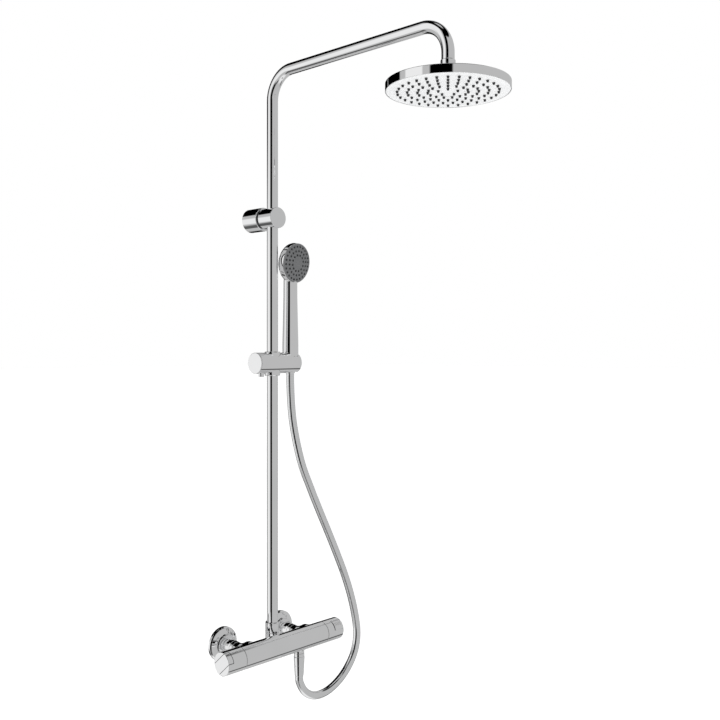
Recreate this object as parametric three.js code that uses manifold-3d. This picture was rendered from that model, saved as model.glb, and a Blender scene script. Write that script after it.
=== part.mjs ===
// Rainfall shower column: a thermostatic bar valve on two wall inlets, a riser pipe with a bent arm and
// a swivelling overhead head, and a slider that carries a handset on a flexible hose.
// Millimetres, +Z up. The wall is the plane y = 0, the user stands on the -Y side, and the origin lies
// on the wall half way between the two inlets, at the height of the valve's axis.
import * as THREE from 'three';
import { mergeVertices } from 'three/addons/utils/BufferGeometryUtils.js';
import Module from 'manifold-3d';

const wasm = await Module();
wasm.setup();

// ---------------------------------------------------------------- driving dimensions
const GAP = 0.3; // between two pieces that touch
const SMOOTH = 32; // facets round the large turned pieces
const PLAIN = 16; // facets round the small ones

const pipeRadius = 11;
const pipeBore = 9.8;
const riserOut = 65.5; // wall to riser axis
const armHeight = 1127;
const armReach = 437; // riser axis to head axis
const bendRadius = 54;
const armEndHeight = 1054;

const barOut = 95; // wall to valve axis
const barRadius = 22;
const barHalf = 151; // half the valve's length over both handles
const bodyHalf = 107.3;
const bodyBore = 16;
const inletSpacing = 150;
const outletX = 45;
const outletFoot = -26; // underside of the hose outlet's boss
const strainerAt = 34; // wall to the end of an inlet union
const cartridgeRadius = bodyBore - GAP;

const unionRadius = 14;
const unionFoot = 20; // underside of the riser's union nut
const unionTop = 40.5;

const bracketHeight = 841;
const bracketRadius = 20.5;
const bracketFront = 82.5; // wall to the bracket's front face
const sleeveRadius = 23.5;
const sleeveLength = 41.7;
const plateDepth = 8; // the fixing plate inside the sleeve

const sliderHeight = 553.5;
const sliderRadius = 20.5;
const sliderLeft = -46;
const sliderRight = 61.5;
const bushRadius = 15.4;
const pinX = -29; // lock pin, left of the riser
const pinRadius = 5.3;
const nutRadius = 9; // the hose nut's neck inside the handset
const socketX = 48.5; // the handset's axis
const seatHeight = 12.2; // the handset's seat above the slider's axis

const faceRadius = 40; // the handset's head
const faceOut = 18.5; // face centre in front of the handle's axis
const faceHeight = 754;
const faceTurn = THREE.MathUtils.degToRad(6);
const faceNod = THREE.MathUtils.degToRad(8);

const headRadius = 104.5;
const headFoot = 1009;
const headTop = 1023.5;
const faceRecess = 1.7;
const shellTop = 1028.3;
const flangeFoot = 1049; // the ball stem's flange in the arm's nut
const ballHeight = 1037;
const ballRadius = 8;

const hoseRadius = 8;
const gripAngle = THREE.MathUtils.degToRad(41); // grips stand this far above the horizontal
const gripWidth = 22.4;

// ---------------------------------------------------------------- materials
const finish = (color, metalness, roughness) =>
  new THREE.MeshStandardMaterial({ color, metalness, roughness });
const CHROME = finish(0xd9dbdd, 1, 0.06);
const BRASS = finish(0xb89a58, 1, 0.35);
const STEEL = finish(0xa8abae, 1, 0.3);
const WHITE = finish(0xf0f1f1, 0, 0.3);
const GREY = finish(0x77797b, 0, 0.45);
const NYLON = finish(0xd8d8d2, 0, 0.5);
const RUBBER = finish(0x1d1d1e, 0, 0.8);

// ---------------------------------------------------------------- solids
// A closed three.js geometry as a solid, with its faces turned outward.
function solid(geometry) {
  const bare = geometry.clone();
  bare.deleteAttribute('normal');
  bare.deleteAttribute('uv');
  const merged = mergeVertices(bare, 1e-4);
  const corners = merged.index.array;
  const triVerts = [];
  for (let i = 0; i < corners.length; i += 3) {
    const [a, b, c] = corners.slice(i, i + 3);
    if (a !== b && b !== c && c !== a) triVerts.push(a, b, c);
  }
  const vertProperties = new Float32Array(merged.attributes.position.array);
  const build = (order) =>
    new wasm.Manifold(new wasm.Mesh({ numProp: 3, vertProperties, triVerts: new Uint32Array(order) }));
  const made = build(triVerts);
  return made.volume() > 0 ? made : build(triVerts.reverse());
}

// A solid of revolution about +Z. The profile is a list of [radius, height] points.
function turned(profile, facets = PLAIN) {
  const closed = profile[0][0] > 0 ? [...profile, profile[0]] : profile;
  const points = closed.map(([radius, height]) => new THREE.Vector2(radius, height));
  return new THREE.LatheGeometry(points, facets).rotateX(Math.PI / 2);
}

const rod = (radius, low, high, facets = PLAIN) =>
  turned([[0, low], [radius, low], [radius, high], [0, high]], facets);

const ring = (outer, inner, low, high, facets = PLAIN) =>
  turned([[inner, low], [outer, low], [outer, high], [inner, high]], facets);

const block = (x0, x1, y0, y1, z0, z1) =>
  new THREE.BoxGeometry(x1 - x0, y1 - y0, z1 - z0).translate((x0 + x1) / 2, (y0 + y1) / 2, (z0 + z1) / 2);

const alongX = (geometry) => geometry.rotateY(Math.PI / 2);
const awayFromWall = (geometry) => geometry.rotateX(Math.PI / 2);
const join = (...pieces) => pieces.map(solid).reduce((whole, piece) => whole.add(piece));
const cut = (whole, ...holes) => holes.map(solid).reduce((left, hole) => left.subtract(hole), whole);

// A solid or a geometry as a named mesh of the assembly.
function part(name, shape, material, parent) {
  const made = shape.isBufferGeometry ? solid(shape) : shape;
  const { vertProperties, triVerts, numProp } = made.getMesh();
  const geometry = new THREE.BufferGeometry();
  geometry.setIndex(new THREE.BufferAttribute(triVerts, 1));
  const stored = new THREE.InterleavedBuffer(vertProperties, numProp);
  geometry.setAttribute('position', new THREE.InterleavedBufferAttribute(stored, 3, 0));
  geometry.computeVertexNormals();
  const mesh = new THREE.Mesh(geometry, material);
  mesh.name = name;
  parent.add(mesh);
  return mesh;
}

function group(parent, x, y, z) {
  const made = new THREE.Group();
  made.position.set(x, y, z);
  parent.add(made);
  return made;
}

// ---------------------------------------------------------------- pipes
// A route that a pipe's sections follow: straight stretches with round bends, one section per station.
class BentRoute extends THREE.Curve {
  constructor(stations) {
    super();
    this.stations = stations;
  }

  getPoint(t, target = new THREE.Vector3()) {
    const place = t * (this.stations.length - 1);
    const low = Math.min(Math.floor(place), this.stations.length - 2);
    return target.lerpVectors(this.stations[low], this.stations[low + 1], place - low);
  }

  getPointAt(u, target) {
    return this.getPoint(u, target);
  }

  getTangentAt(u, target = new THREE.Vector3()) {
    const step = 0.4 / (this.stations.length - 1);
    const before = this.getPoint(Math.max(u - step, 0));
    return target.copy(this.getPoint(Math.min(u + step, 1))).sub(before).normalize();
  }
}

// A tube along a route, solid where the hole is 0. An arc is drawn with two facets per curve segment.
function swept(route, steps, radius, hole, facets) {
  const shape = new THREE.Shape().absarc(0, 0, radius, 0, 2 * Math.PI);
  if (hole) shape.holes.push(new THREE.Path().absarc(0, 0, hole, 0, 2 * Math.PI, true));
  return new THREE.ExtrudeGeometry(shape, { steps, curveSegments: facets / 2, extrudePath: route });
}

function armStations() {
  const stations = [new THREE.Vector3(0, 0, bracketHeight + GAP)];
  const turns = 6;
  for (let i = 0; i <= turns; i += 1) {
    const angle = (i / turns) * (Math.PI / 2);
    const out = bendRadius * (1 - Math.cos(angle));
    const up = armHeight - bendRadius + bendRadius * Math.sin(angle);
    stations.push(new THREE.Vector3(0, -out, up));
  }
  for (let i = 0; i <= turns; i += 1) {
    const angle = (i / turns) * (Math.PI / 2);
    const out = armReach - bendRadius + bendRadius * Math.sin(angle);
    const up = armHeight - bendRadius + bendRadius * Math.cos(angle);
    stations.push(new THREE.Vector3(0, -out, up));
  }
  stations.push(new THREE.Vector3(0, -armReach, armEndHeight));
  return stations;
}

function buildRiser(parent) {
  const riser = group(parent, 0, -riserOut, 0);
  const washer = 3;
  part('riser_pipe', ring(pipeRadius, pipeBore, unionFoot + washer + GAP, bracketHeight), CHROME, riser);
  const stations = armStations();
  const arm = swept(new BentRoute(stations), stations.length - 1, pipeRadius, pipeBore, 20);
  part('arm_pipe', arm, CHROME, riser);
  const overlap = 24;
  const sleeveBore = 7.6;
  const sleeve = ring(pipeBore - GAP, sleeveBore, bracketHeight - overlap, bracketHeight + overlap);
  part('pipe_joint_sleeve', sleeve, BRASS, riser);
  const nut = turned([
    [pipeRadius + GAP, unionFoot], [unionRadius, unionFoot], [unionRadius, unionTop - 1],
    [unionRadius - 1, unionTop], [pipeRadius + GAP, unionTop],
  ]);
  part('riser_union_nut', nut, CHROME, riser);
  part('riser_washer', ring(pipeRadius - 0.2, 7.5, unionFoot, unionFoot + washer), RUBBER, riser);
}

// ---------------------------------------------------------------- wall bracket
function buildBracket(parent) {
  const bracket = group(parent, 0, 0, bracketHeight);
  const spigot = 16.4;
  const screwRadius = 2.4;
  const screwTip = -17; // behind the wall's face
  const sleeve = turned([
    [spigot + GAP, 0], [sleeveRadius, 0], [sleeveRadius, sleeveLength - 0.8],
    [sleeveRadius - 0.8, sleeveLength], [spigot + GAP, sleeveLength],
  ], SMOOTH);
  part('bracket_sleeve', awayFromWall(sleeve), CHROME, bracket);
  const body = turned([
    [0, 14], [spigot, 14], [spigot, sleeveLength + GAP], [bracketRadius, sleeveLength + GAP],
    [bracketRadius, bracketFront - 0.7], [bracketRadius - 0.7, bracketFront], [0, bracketFront],
  ], SMOOTH);
  const pipeHole = rod(pipeRadius + GAP, -40, 40).translate(0, -riserOut, 0);
  const grubHole = rod(2.8, -40, -8).translate(0, -riserOut, 0);
  const drilled = cut(solid(awayFromWall(body)), pipeHole, grubHole);
  const screwPocket = awayFromWall(rod(6.5, 13, 24));
  part('bracket_body', cut(drilled, screwPocket), CHROME, bracket);
  const plate = cut(
    solid(awayFromWall(rod(spigot - 0.6, 0, plateDepth))),
    awayFromWall(rod(screwRadius + 0.5, -1, plateDepth + 1)),
  );
  part('bracket_wall_plate', plate, NYLON, bracket);
  const screw = turned([
    [0, screwTip], [0.6, screwTip + 1], [screwRadius, screwTip + 5], [screwRadius, plateDepth + GAP],
    [4.8, plateDepth + GAP], [4.8, plateDepth + 2.5], [3.6, plateDepth + 3.6], [0, plateDepth + 3.6],
  ], 20);
  part('bracket_wall_screw', awayFromWall(screw), STEEL, bracket);
  const grub = rod(2.4, -bracketRadius + 1, -pipeRadius - GAP, 16).translate(0, -riserOut, 0);
  part('bracket_grub_screw', grub, STEEL, bracket);
}

// ---------------------------------------------------------------- wall inlets
function buildInlet(parent, side, x) {
  const inlet = group(parent, x, 0, 0);
  const rosette = turned([
    [31.6, 0], [33.5, 0], [33.5, 5], [31.5, 7.6], [26, 10.4], [20.5, 11.8], [20.5, 16], [19.5, 17],
    [10.8, 17], [10.8, 14.6], [18, 14.6], [18, 9.4], [31.6, 4.6],
  ], SMOOTH);
  part(`${side}_wall_flange`, awayFromWall(rosette), CHROME, inlet);
  const union = turned([
    [7.6, -14], [10.2, -14], [10.2, strainerAt - 5], [12.2, strainerAt - 5], [12.2, strainerAt],
    [7.6, strainerAt],
  ]);
  part(`${side}_inlet_union`, awayFromWall(union), BRASS, inlet);
  const nut = turned([
    [10.5, 26], [13.2, 26], [14, 27], [14, 35.5], [12.9, 45.8], [12.5, 45.8], [12.5, 28.7], [10.5, 28.7],
  ]);
  part(`${side}_inlet_nut`, awayFromWall(nut), CHROME, inlet);
  const strainer = ring(12.1, 6.4, strainerAt + GAP, strainerAt + 2.2);
  part(`${side}_inlet_strainer`, awayFromWall(strainer), RUBBER, inlet);
}

// ---------------------------------------------------------------- valve
// Distances in the valve's group are measured from the bar's axis; the wall is on its +Y side.
function valveBody() {
  const bar = alongX(rod(barRadius, -bodyHalf, bodyHalf, SMOOTH));
  const rear = barOut - strainerAt - 2.5; // where a boss meets the strainer
  const boss = [[0, -rear], [12.2, -rear], [12.2, -42], [13, -36], [15.6, -30], [19.4, -24], [21, 0], [0, 0]];
  const bosses = [-1, 1].map((end) => awayFromWall(turned(boss)).translate((end * inletSpacing) / 2, 0, 0));
  const riserY = barOut - riserOut;
  const bridgeFoot = -14;
  const riserBoss = rod(unionRadius, bridgeFoot, unionFoot - GAP).translate(0, riserY, 0);
  const bridge = block(-unionRadius, unionRadius, 0, riserY, bridgeFoot, unionFoot - GAP);
  const outletBoss = rod(10.3, outletFoot, -12).translate(outletX, 0, 0);
  const inside = alongX(rod(bodyBore, -bodyHalf - 1, bodyHalf + 1, SMOOTH));
  const inletBores = [-1, 1].map((end) =>
    awayFromWall(rod(7, -rear - 1, -6)).translate((end * inletSpacing) / 2, 0, 0));
  const riserBores = [
    rod(7.5, -8, unionFoot + 1).translate(0, riserY, 0),
    awayFromWall(rod(6, -riserY, -6)),
  ];
  const outletBore = rod(6, outletFoot - 1, -6).translate(outletX, 0, 0);
  const whole = join(bar, ...bosses, riserBoss, bridge, outletBoss);
  return cut(whole, inside, ...inletBores, ...riserBores, outletBore);
}

// A hollow handle for the end of the bar: a cup from its open rim to its closed end, with a splined hub.
function handleCup() {
  const rim = bodyHalf + GAP;
  const wall = 2.6;
  const end = barHalf - 3.5;
  const cup = turned([
    [4.3, rim + 16], [7.5, rim + 16], [7.5, end], [barRadius - wall, end], [barRadius - wall, rim],
    [barRadius, rim], [barRadius, barHalf - 0.9], [barRadius - 0.9, barHalf], [0, barHalf],
    [0, end + 0.5], [4.3, end + 0.5],
  ].reverse(), SMOOTH);
  return solid(alongX(cup));
}

// A box that leans with the grips: its length along X, its width across and its reach outward.
const gripBox = (x0, x1, width, r0, r1) =>
  block(x0, x1, -r1, -r0, -width / 2, width / 2).rotateX(-gripAngle);

function buildValve(parent) {
  const valve = group(parent, 0, -barOut, 0);
  part('valve_body', valveBody(), CHROME, valve);

  const tube = (radius, x0, x1) => alongX(rod(radius, x0, x1));
  const spindle = (x0, x1, collar0, collar1) => join(tube(4, x0, x1), tube(6.5, collar0, collar1));
  const spindleFoot = bodyHalf + GAP;
  const spindleEnd = 140;
  const collarEnd = 112;
  const thermostat = join(
    tube(cartridgeRadius, 20, 64), tube(13, 63, 100), tube(cartridgeRadius, 99, bodyHalf),
  );
  part('thermostatic_cartridge', thermostat, BRASS, valve);
  part('thermostat_spindle', spindle(spindleFoot, spindleEnd, spindleFoot, collarEnd), BRASS, valve);
  const diverter = join(
    tube(cartridgeRadius, -bodyHalf, -96), tube(12, -97, -66), tube(cartridgeRadius, -67, -50),
  );
  part('diverter_cartridge', diverter, NYLON, valve);
  part('diverter_spindle', spindle(-spindleEnd, -spindleFoot, -collarEnd, -spindleFoot), BRASS, valve);

  // The temperature handle has a window for the stop button, which stands proud of it.
  const buttonFrom = 126;
  const buttonTo = 147;
  const window = gripBox(buttonFrom - GAP, buttonTo + GAP, gripWidth + 2 * GAP, 8, 30);
  part('temperature_handle', cut(handleCup(), window), CHROME, valve);
  const buttonRing = solid(alongX(ring(barRadius + 1.4, 17.4, buttonFrom, buttonTo, SMOOTH)));
  const buttonCut = solid(gripBox(buttonFrom - 1, buttonTo + 1, gripWidth, 8, 30));
  part('temperature_stop_button', buttonRing.intersect(buttonCut), CHROME, valve);

  // The diverter handle has a flush grip band across its end, which wraps a little way down both sides.
  const wrap = 11;
  const skin = 2;
  const mirrored = handleCup().mirror([1, 0, 0]);
  const inner = rod(barRadius - skin - GAP, 0, barHalf - skin - GAP, SMOOTH);
  const bandRoom = solid(gripBox(-barHalf - 1, -barHalf + wrap + GAP, gripWidth + 2 * GAP, -30, 30));
  const bandHole = bandRoom.subtract(solid(alongX(inner.clone()).rotateZ(Math.PI)));
  part('diverter_handle', mirrored.subtract(bandHole), CHROME, valve);
  const bandBlank = solid(alongX(rod(barRadius, -barHalf, -barHalf + wrap, SMOOTH)));
  const bandCore = rod(barRadius - skin, 0, barHalf - skin, SMOOTH);
  const band = bandBlank.intersect(solid(gripBox(-barHalf - 1, -barHalf + wrap, gripWidth, -30, 30)));
  part('diverter_grip_band', cut(band, alongX(bandCore).rotateZ(Math.PI)), CHROME, valve);
}

// ---------------------------------------------------------------- hose outlet and hose
const outletNut = -33; // top of the nut that holds the hose under the valve
const hoseFoot = -72;
const nippleFoot = -46;

// The hose's centre line, from the slider down, round its loop and up to the outlet.
const HOSE_ROUTE = [
  [48, -65.5, 532.2], [48.3, -65.5, 510], [49.3, -66, 482], [50.5, -67.5, 455], [53, -69, 430],
  [59.5, -73, 388], [70.5, -77.5, 343], [88, -83, 297], [108, -88, 250], [129.5, -93, 202],
  [151, -97, 154], [173, -99.5, 104], [192, -100, 54], [204.5, -100, 8], [208.5, -100, -22],
  [205, -100, -48], [194.5, -100, -71], [177.5, -100, -91], [158, -100, -106], [136.5, -99.5, -117],
  [114.5, -99, -123.2], [93, -98, -123.8], [74, -97, -118], [58.5, -96, -106.5], [48.5, -95.3, -91],
  [45, -95, -80], [45, -95, hoseFoot - GAP],
];

function buildHose(parent) {
  const outlet = group(parent, outletX, -barOut, 0);
  const nipple = turned([
    [6.4, nippleFoot], [8.4, nippleFoot], [8.4, outletNut], [10.5, outletNut + GAP],
    [10.5, outletFoot - GAP], [6.4, outletFoot - GAP],
  ]);
  part('hose_outlet_nipple', nipple, CHROME, outlet);
  part('outlet_check_valve', ring(6.1, 2.4, -44, -30), NYLON, outlet);
  const nut = turned([
    [8.7, outletNut], [10.2, outletNut], [11, outletNut - 1], [8.9, hoseFoot + 1], [8.4, hoseFoot],
    [5.5, hoseFoot], [5.5, nippleFoot - 6], [8.7, nippleFoot - 6],
  ]);
  part('lower_hose_nut', nut, CHROME, outlet);
  part('lower_hose_washer', ring(8.2, 5, nippleFoot - 4, nippleFoot - GAP), RUBBER, outlet);
  const points = HOSE_ROUTE.map(([x, y, z]) => new THREE.Vector3(x, y, z));
  const route = new THREE.CatmullRomCurve3(points);
  part('shower_hose', swept(route, 44, hoseRadius, 0, 10), STEEL, parent);
}

// ---------------------------------------------------------------- slider
function sliderBody() {
  const bar = turned([
    [0, sliderLeft + 2 + GAP], [sliderRadius, sliderLeft + 2 + GAP], [sliderRadius, sliderRight - 0.9],
    [sliderRadius - 0.9, sliderRight], [0, sliderRight],
  ], SMOOTH);
  const bushHole = rod(bushRadius + GAP, -30, 30);
  const cone = turned([
    [0, -24], [9.9, -24], [12.4, seatHeight], [16.5, seatHeight], [16.5, 30], [0, 30],
  ], 24).translate(socketX, 0, 0);
  const hoseSlot = block(socketX, sliderRight + 5, -8.6, 8.6, -30, 30);
  const pinHole = rod(pinRadius + GAP, -30, 5.3).translate(pinX, 0, 0);
  const padHole = alongX(rod(4.8, sliderLeft, -14));
  return cut(solid(alongX(bar)), bushHole, cone, hoseSlot, pinHole, padHole);
}

function buildSlider(parent) {
  const slider = group(parent, 0, -riserOut, sliderHeight);
  part('slider_bush', ring(bushRadius, pipeRadius + 0.2, -25, 22.5), NYLON, slider);
  part('slider_body', sliderBody(), CHROME, slider);
  const cap = turned([
    [0, sliderLeft], [sliderRadius - 0.8, sliderLeft], [sliderRadius, sliderLeft + 0.8],
    [sliderRadius, sliderLeft + 2], [4.5, sliderLeft + 2], [4.5, sliderLeft + 6], [0, sliderLeft + 6],
  ], SMOOTH);
  part('slider_end_cap', alongX(cap), CHROME, slider);
  const pin = turned([
    [0, -27], [pinRadius - 0.7, -27], [pinRadius, -26.3], [pinRadius, 1.5], [0, 1.5],
  ]).translate(pinX, 0, 0);
  part('slider_lock_pin', pin, CHROME, slider);
  part('slider_brake_pad', alongX(rod(4.5, -23.4, -bushRadius - 2 * GAP)), NYLON, slider);
}

// ---------------------------------------------------------------- handset
function handsetHead(profile) {
  // The head's axis points from its face to its back, so the face looks out and a little down.
  const head = turned(profile, SMOOTH).rotateX(-Math.PI / 2);
  head.rotateX(faceNod).rotateZ(faceTurn);
  return head.translate(0, -faceOut, faceHeight - sliderHeight);
}

function buildHandset(parent) {
  const handset = group(parent, socketX, -riserOut, sliderHeight);
  const nutTop = 30;
  const nut = turned([
    [8.4, -21], [9.3, -21], [12, seatHeight], [nutRadius, seatHeight], [nutRadius, nutTop], [5.5, nutTop],
    [5.5, -4], [8.4, -4],
  ]);
  part('upper_hose_nut', nut, CHROME, handset);
  part('handset_washer', ring(nutRadius, 5, nutTop + GAP, nutTop + 2.6), RUBBER, handset);

  const headJoint = faceHeight - sliderHeight;
  const handle = turned([
    [0, seatHeight + GAP], [15.2, seatHeight + GAP], [16, seatHeight + 1.4], [16, 40], [14.9, 85],
    [14, 130], [13.8, headJoint - 22], [10, headJoint - 12], [0, headJoint - 10],
  ], 24);
  const shell = handsetHead([
    [0, 2.6], [37.8, 2.6], [37.8, 0], [39.2, 0], [faceRadius, 0.8], [faceRadius, 9.6], [38.8, 13.4],
    [35.8, 16.8], [31, 20.4], [24.5, 24.2], [14, 27.4], [0, 28.5],
  ]);
  const chamber = handsetHead([
    [0, -8], [37.8, -8], [37.8, 2.6], [34, 2.6], [34, 12], [31, 16], [24, 20], [0, 23],
  ]);
  const nutRoom = rod(nutRadius + GAP, seatHeight - 1, nutTop + 3);
  const channel = rod(6, nutTop, headJoint - 8);
  const made = cut(join(handle, shell), chamber, nutRoom, channel);
  part('handset_shell', made, CHROME, handset);
  const face = handsetHead([
    [0, -4.2], [12, -3.8], [22, -2.8], [31, -1.3], [37.5, 0.4], [37.5, 2.3], [0, 2.3],
  ]);
  part('handset_face', face, GREY, handset);
  part('handset_nozzle_mat', handsetHead([[0, 2.6], [33.5, 2.6], [33.5, 4.6], [0, 4.6]]), RUBBER, handset);
}

// ---------------------------------------------------------------- overhead head
// Heights in the head's group are measured from the centre of its ball joint.
function buildHead(parent) {
  const head = group(parent, 0, -riserOut - armReach, ballHeight);
  const local = (height) => height - ballHeight;
  const stemFoot = local(1046.5);
  const nut = turned([
    [5.6, stemFoot], [11.6, stemFoot], [12.5, stemFoot + 0.9], [12.5, local(1060.2)],
    [11.7, local(1061)], [11.3, local(1061)], [11.3, local(flangeFoot + 2)], [9.4, local(flangeFoot + 2)],
    [9.4, local(flangeFoot)], [5.6, local(flangeFoot)],
  ]);
  part('arm_end_nut', nut, CHROME, head);
  const stemNeck = 5;
  const ballProfile = [[2.5, -Math.sqrt(ballRadius ** 2 - 2.5 ** 2)]];
  const turns = 6;
  const first = Math.atan2(-ballProfile[0][1], 2.5);
  const last = Math.acos(stemNeck / ballRadius);
  for (let i = 1; i <= turns; i += 1) {
    const angle = -first + (i / turns) * (first + last);
    ballProfile.push([ballRadius * Math.cos(angle), ballRadius * Math.sin(angle)]);
  }
  const stem = turned([
    ...ballProfile, [stemNeck, local(flangeFoot + GAP)], [9, local(flangeFoot + GAP)],
    [9, local(flangeFoot + 2.3)], [2.5, local(flangeFoot + 2.3)],
  ], 24);
  part('ball_stem', stem, BRASS, head);
  part('arm_end_washer', ring(10.8, 6, local(flangeFoot + 2.6), local(armEndHeight - GAP)), RUBBER, head);

  const cupRadius = ballRadius + 0.25;
  const cupFoot = -7.9;
  const cupTop = 2.6;
  const cupProfile = [[10.6, cupTop], [10.6, cupFoot]];
  for (let i = 0; i <= turns; i += 1) {
    const height = cupFoot + (i / turns) * (cupTop - cupFoot);
    cupProfile.push([Math.sqrt(cupRadius ** 2 - height ** 2), height]);
  }
  part('ball_seat', turned(cupProfile, 24), NYLON, head);
  const capFoot = local(shellTop + GAP);
  const cap = turned([
    [10.9, capFoot], [13.2, capFoot], [14, capFoot + 0.8], [14, 4.2], [13.2, 5], [7.9, 5], [7.9, 3],
    [10.9, 3],
  ]);
  part('ball_cap', cap, CHROME, head);

  const rimWall = 3;
  const skin = 1.8;
  const shell = turned([
    [6, local(shellTop)], [14, local(shellTop)], [15.5, local(shellTop - 1.1)], [60, local(headTop + 1.8)],
    [headRadius - 1.6, local(headTop)], [headRadius, local(headTop - 1.4)],
    [headRadius, local(headFoot + 0.6)],
    [headRadius - 0.6, local(headFoot)], [headRadius - rimWall, local(headFoot)],
    [headRadius - rimWall, local(headTop - skin)], [60, local(headTop)], [16, local(shellTop - 3.1)],
    [6, local(shellTop - 3.1)],
  ], SMOOTH);
  part('head_top_shell', shell, CHROME, head);
  const plateFoot = headFoot + faceRecess;
  const plate = rod(headRadius - rimWall - GAP, local(plateFoot), local(plateFoot + 2), SMOOTH);
  part('head_face_plate', plate, WHITE, head);
  const mat = rod(headRadius - rimWall - 4, local(plateFoot + 2 + GAP), local(plateFoot + 4.5), SMOOTH);
  part('head_nozzle_mat', mat, RUBBER, head);
}

// ---------------------------------------------------------------- assembly
const column = new THREE.Group();
buildRiser(column);
buildBracket(column);
buildInlet(column, 'left', -inletSpacing / 2);
buildInlet(column, 'right', inletSpacing / 2);
buildValve(column);
buildHose(column);
buildSlider(column);
buildHandset(column);
buildHead(column);

export default column;
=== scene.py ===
# Looks of a rainfall shower column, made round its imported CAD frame. Metres, +Z up, wall at y = 0.
# Outlines of turned pieces are in millimetres; the places and overall sizes come from the frame.
import math

import bmesh
import bpy
from mathutils import Matrix, Vector
from mathutils.bvhtree import BVHTree
from mathutils.interpolate import poly_3d_calc


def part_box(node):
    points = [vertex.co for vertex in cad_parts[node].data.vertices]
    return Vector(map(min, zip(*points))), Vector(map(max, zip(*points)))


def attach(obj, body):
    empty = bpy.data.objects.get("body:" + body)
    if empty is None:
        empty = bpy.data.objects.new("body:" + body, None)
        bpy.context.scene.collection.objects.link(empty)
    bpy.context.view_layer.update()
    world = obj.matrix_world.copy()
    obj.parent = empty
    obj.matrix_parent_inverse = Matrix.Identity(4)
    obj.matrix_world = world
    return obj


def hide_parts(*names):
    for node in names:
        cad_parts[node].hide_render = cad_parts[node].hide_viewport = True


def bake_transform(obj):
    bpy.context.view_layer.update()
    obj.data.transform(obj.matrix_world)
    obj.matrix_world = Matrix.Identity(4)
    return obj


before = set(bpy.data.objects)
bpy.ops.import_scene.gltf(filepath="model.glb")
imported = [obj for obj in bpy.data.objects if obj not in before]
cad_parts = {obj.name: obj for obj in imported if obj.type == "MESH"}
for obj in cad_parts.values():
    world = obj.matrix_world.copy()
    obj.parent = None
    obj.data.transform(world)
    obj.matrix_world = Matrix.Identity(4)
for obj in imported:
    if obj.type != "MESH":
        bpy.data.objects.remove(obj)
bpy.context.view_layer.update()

MM = 0.001
UP = Vector((0, 0, 1))
RIGHT = Vector((1, 0, 0))
OUT = Vector((0, -1, 0))  # from the wall to the user
ROUND = 96  # segments round the large turned pieces
SMALL = 40  # segments round nozzles and screws
EDGE = 0.3  # default rounding of a turned edge, in millimetres


# ------------------------------------------------------------------ places from the frame
def centre(node):
    low, high = map(Vector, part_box(node))
    return (low + high) / 2


def span(node):
    low, high = map(Vector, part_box(node))
    return (high - low) / MM


def start(node, direction):
    """The middle of the node's box on the side that the direction leaves."""
    low, high = map(Vector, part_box(node))
    half = (high - low) / 2
    reach = abs(direction.x) * half.x + abs(direction.y) * half.y + abs(direction.z) * half.z
    return (low + high) / 2 - direction * reach


# ------------------------------------------------------------------ meshes
def linked(name, mesh):
    piece = bpy.data.objects.new(name, mesh)
    bpy.context.scene.collection.objects.link(piece)
    return piece


def mesh_of(name, points, faces, normals=None):
    mesh = bpy.data.meshes.new(name)
    mesh.from_pydata([tuple(p) for p in points], [], faces)
    mesh.validate()
    mesh.polygons.foreach_set("use_smooth", [True] * len(mesh.polygons))
    if normals:
        mesh.normals_split_custom_set_from_vertices([tuple(n) for n in normals])
    mesh.update()
    return mesh


def rounded(outline, closed):
    """The outline with rounded corners, as (point, normal) pairs; a corner's third value is its radius."""
    corners = [Vector(c[:2]) for c in outline]
    radii = [c[2] if len(c) > 2 else EDGE for c in outline]
    count = len(corners)
    result = []
    for i, corner in enumerate(corners):
        before = None if i == 0 and not closed else corner - corners[i - 1]
        after = None if i == count - 1 and not closed else corners[(i + 1) % count] - corner
        if before is None or after is None:
            along = (after or before).normalized()
            result.append((corner, Vector((along.y, -along.x))))
            continue
        first, second = before.normalized(), after.normalized()
        turn = math.atan2(first.cross(second), first.dot(second))
        if abs(turn) < 1e-4:
            result.append((corner, Vector((first.y, -first.x))))
            continue
        half = math.tan(abs(turn) / 2)
        cut = min(radii[i] * half, 0.45 * before.length, 0.45 * after.length)
        radius = cut / half
        side = math.copysign(1, turn)
        normal = Vector((first.y, -first.x))
        middle = corner - first * cut - normal * radius * side
        steps = max(2, round(abs(turn) / math.radians(14)))
        for k in range(steps + 1):
            spun = Matrix.Rotation(turn * k / steps, 2) @ normal
            result.append((middle + spun * radius * side, spun))
    return result


def turned_mesh(name, outline, at, direction, closed, segments):
    side = direction.orthogonal().normalized()
    other = direction.cross(side)
    points, normals, rings = [], [], []
    for point, normal in rounded(outline, closed):
        if point.x < 1e-5:
            rings.append([len(points)])
            points.append(at + direction * point.y * MM)
            normals.append(direction * math.copysign(1, normal.y))
            continue
        rings.append(list(range(len(points), len(points) + segments)))
        for k in range(segments):
            angle = 2 * math.pi * k / segments
            spoke = side * math.cos(angle) + other * math.sin(angle)
            points.append(at + (spoke * point.x + direction * point.y) * MM)
            normals.append(spoke * normal.x + direction * normal.y)
    faces = []
    pairs = list(zip(rings, rings[1:] + (rings[:1] if closed else [])))
    for low, high in pairs if closed else pairs[: len(rings) - 1]:
        for k in range(segments):
            n = (k + 1) % segments
            quad = (low[k % len(low)], low[n % len(low)], high[n % len(high)], high[k % len(high)])
            faces.append(tuple(dict.fromkeys(quad)))
    return mesh_of(name, points, [f for f in faces if len(f) > 2], normals)


def turned(name, outline, at, direction=UP, closed=False, segments=ROUND):
    """A turned piece. Its outline, (radius, height) in millimetres, runs up its outside from foot to top."""
    return linked(name, turned_mesh(name, outline, at, direction, closed, segments))


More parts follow.
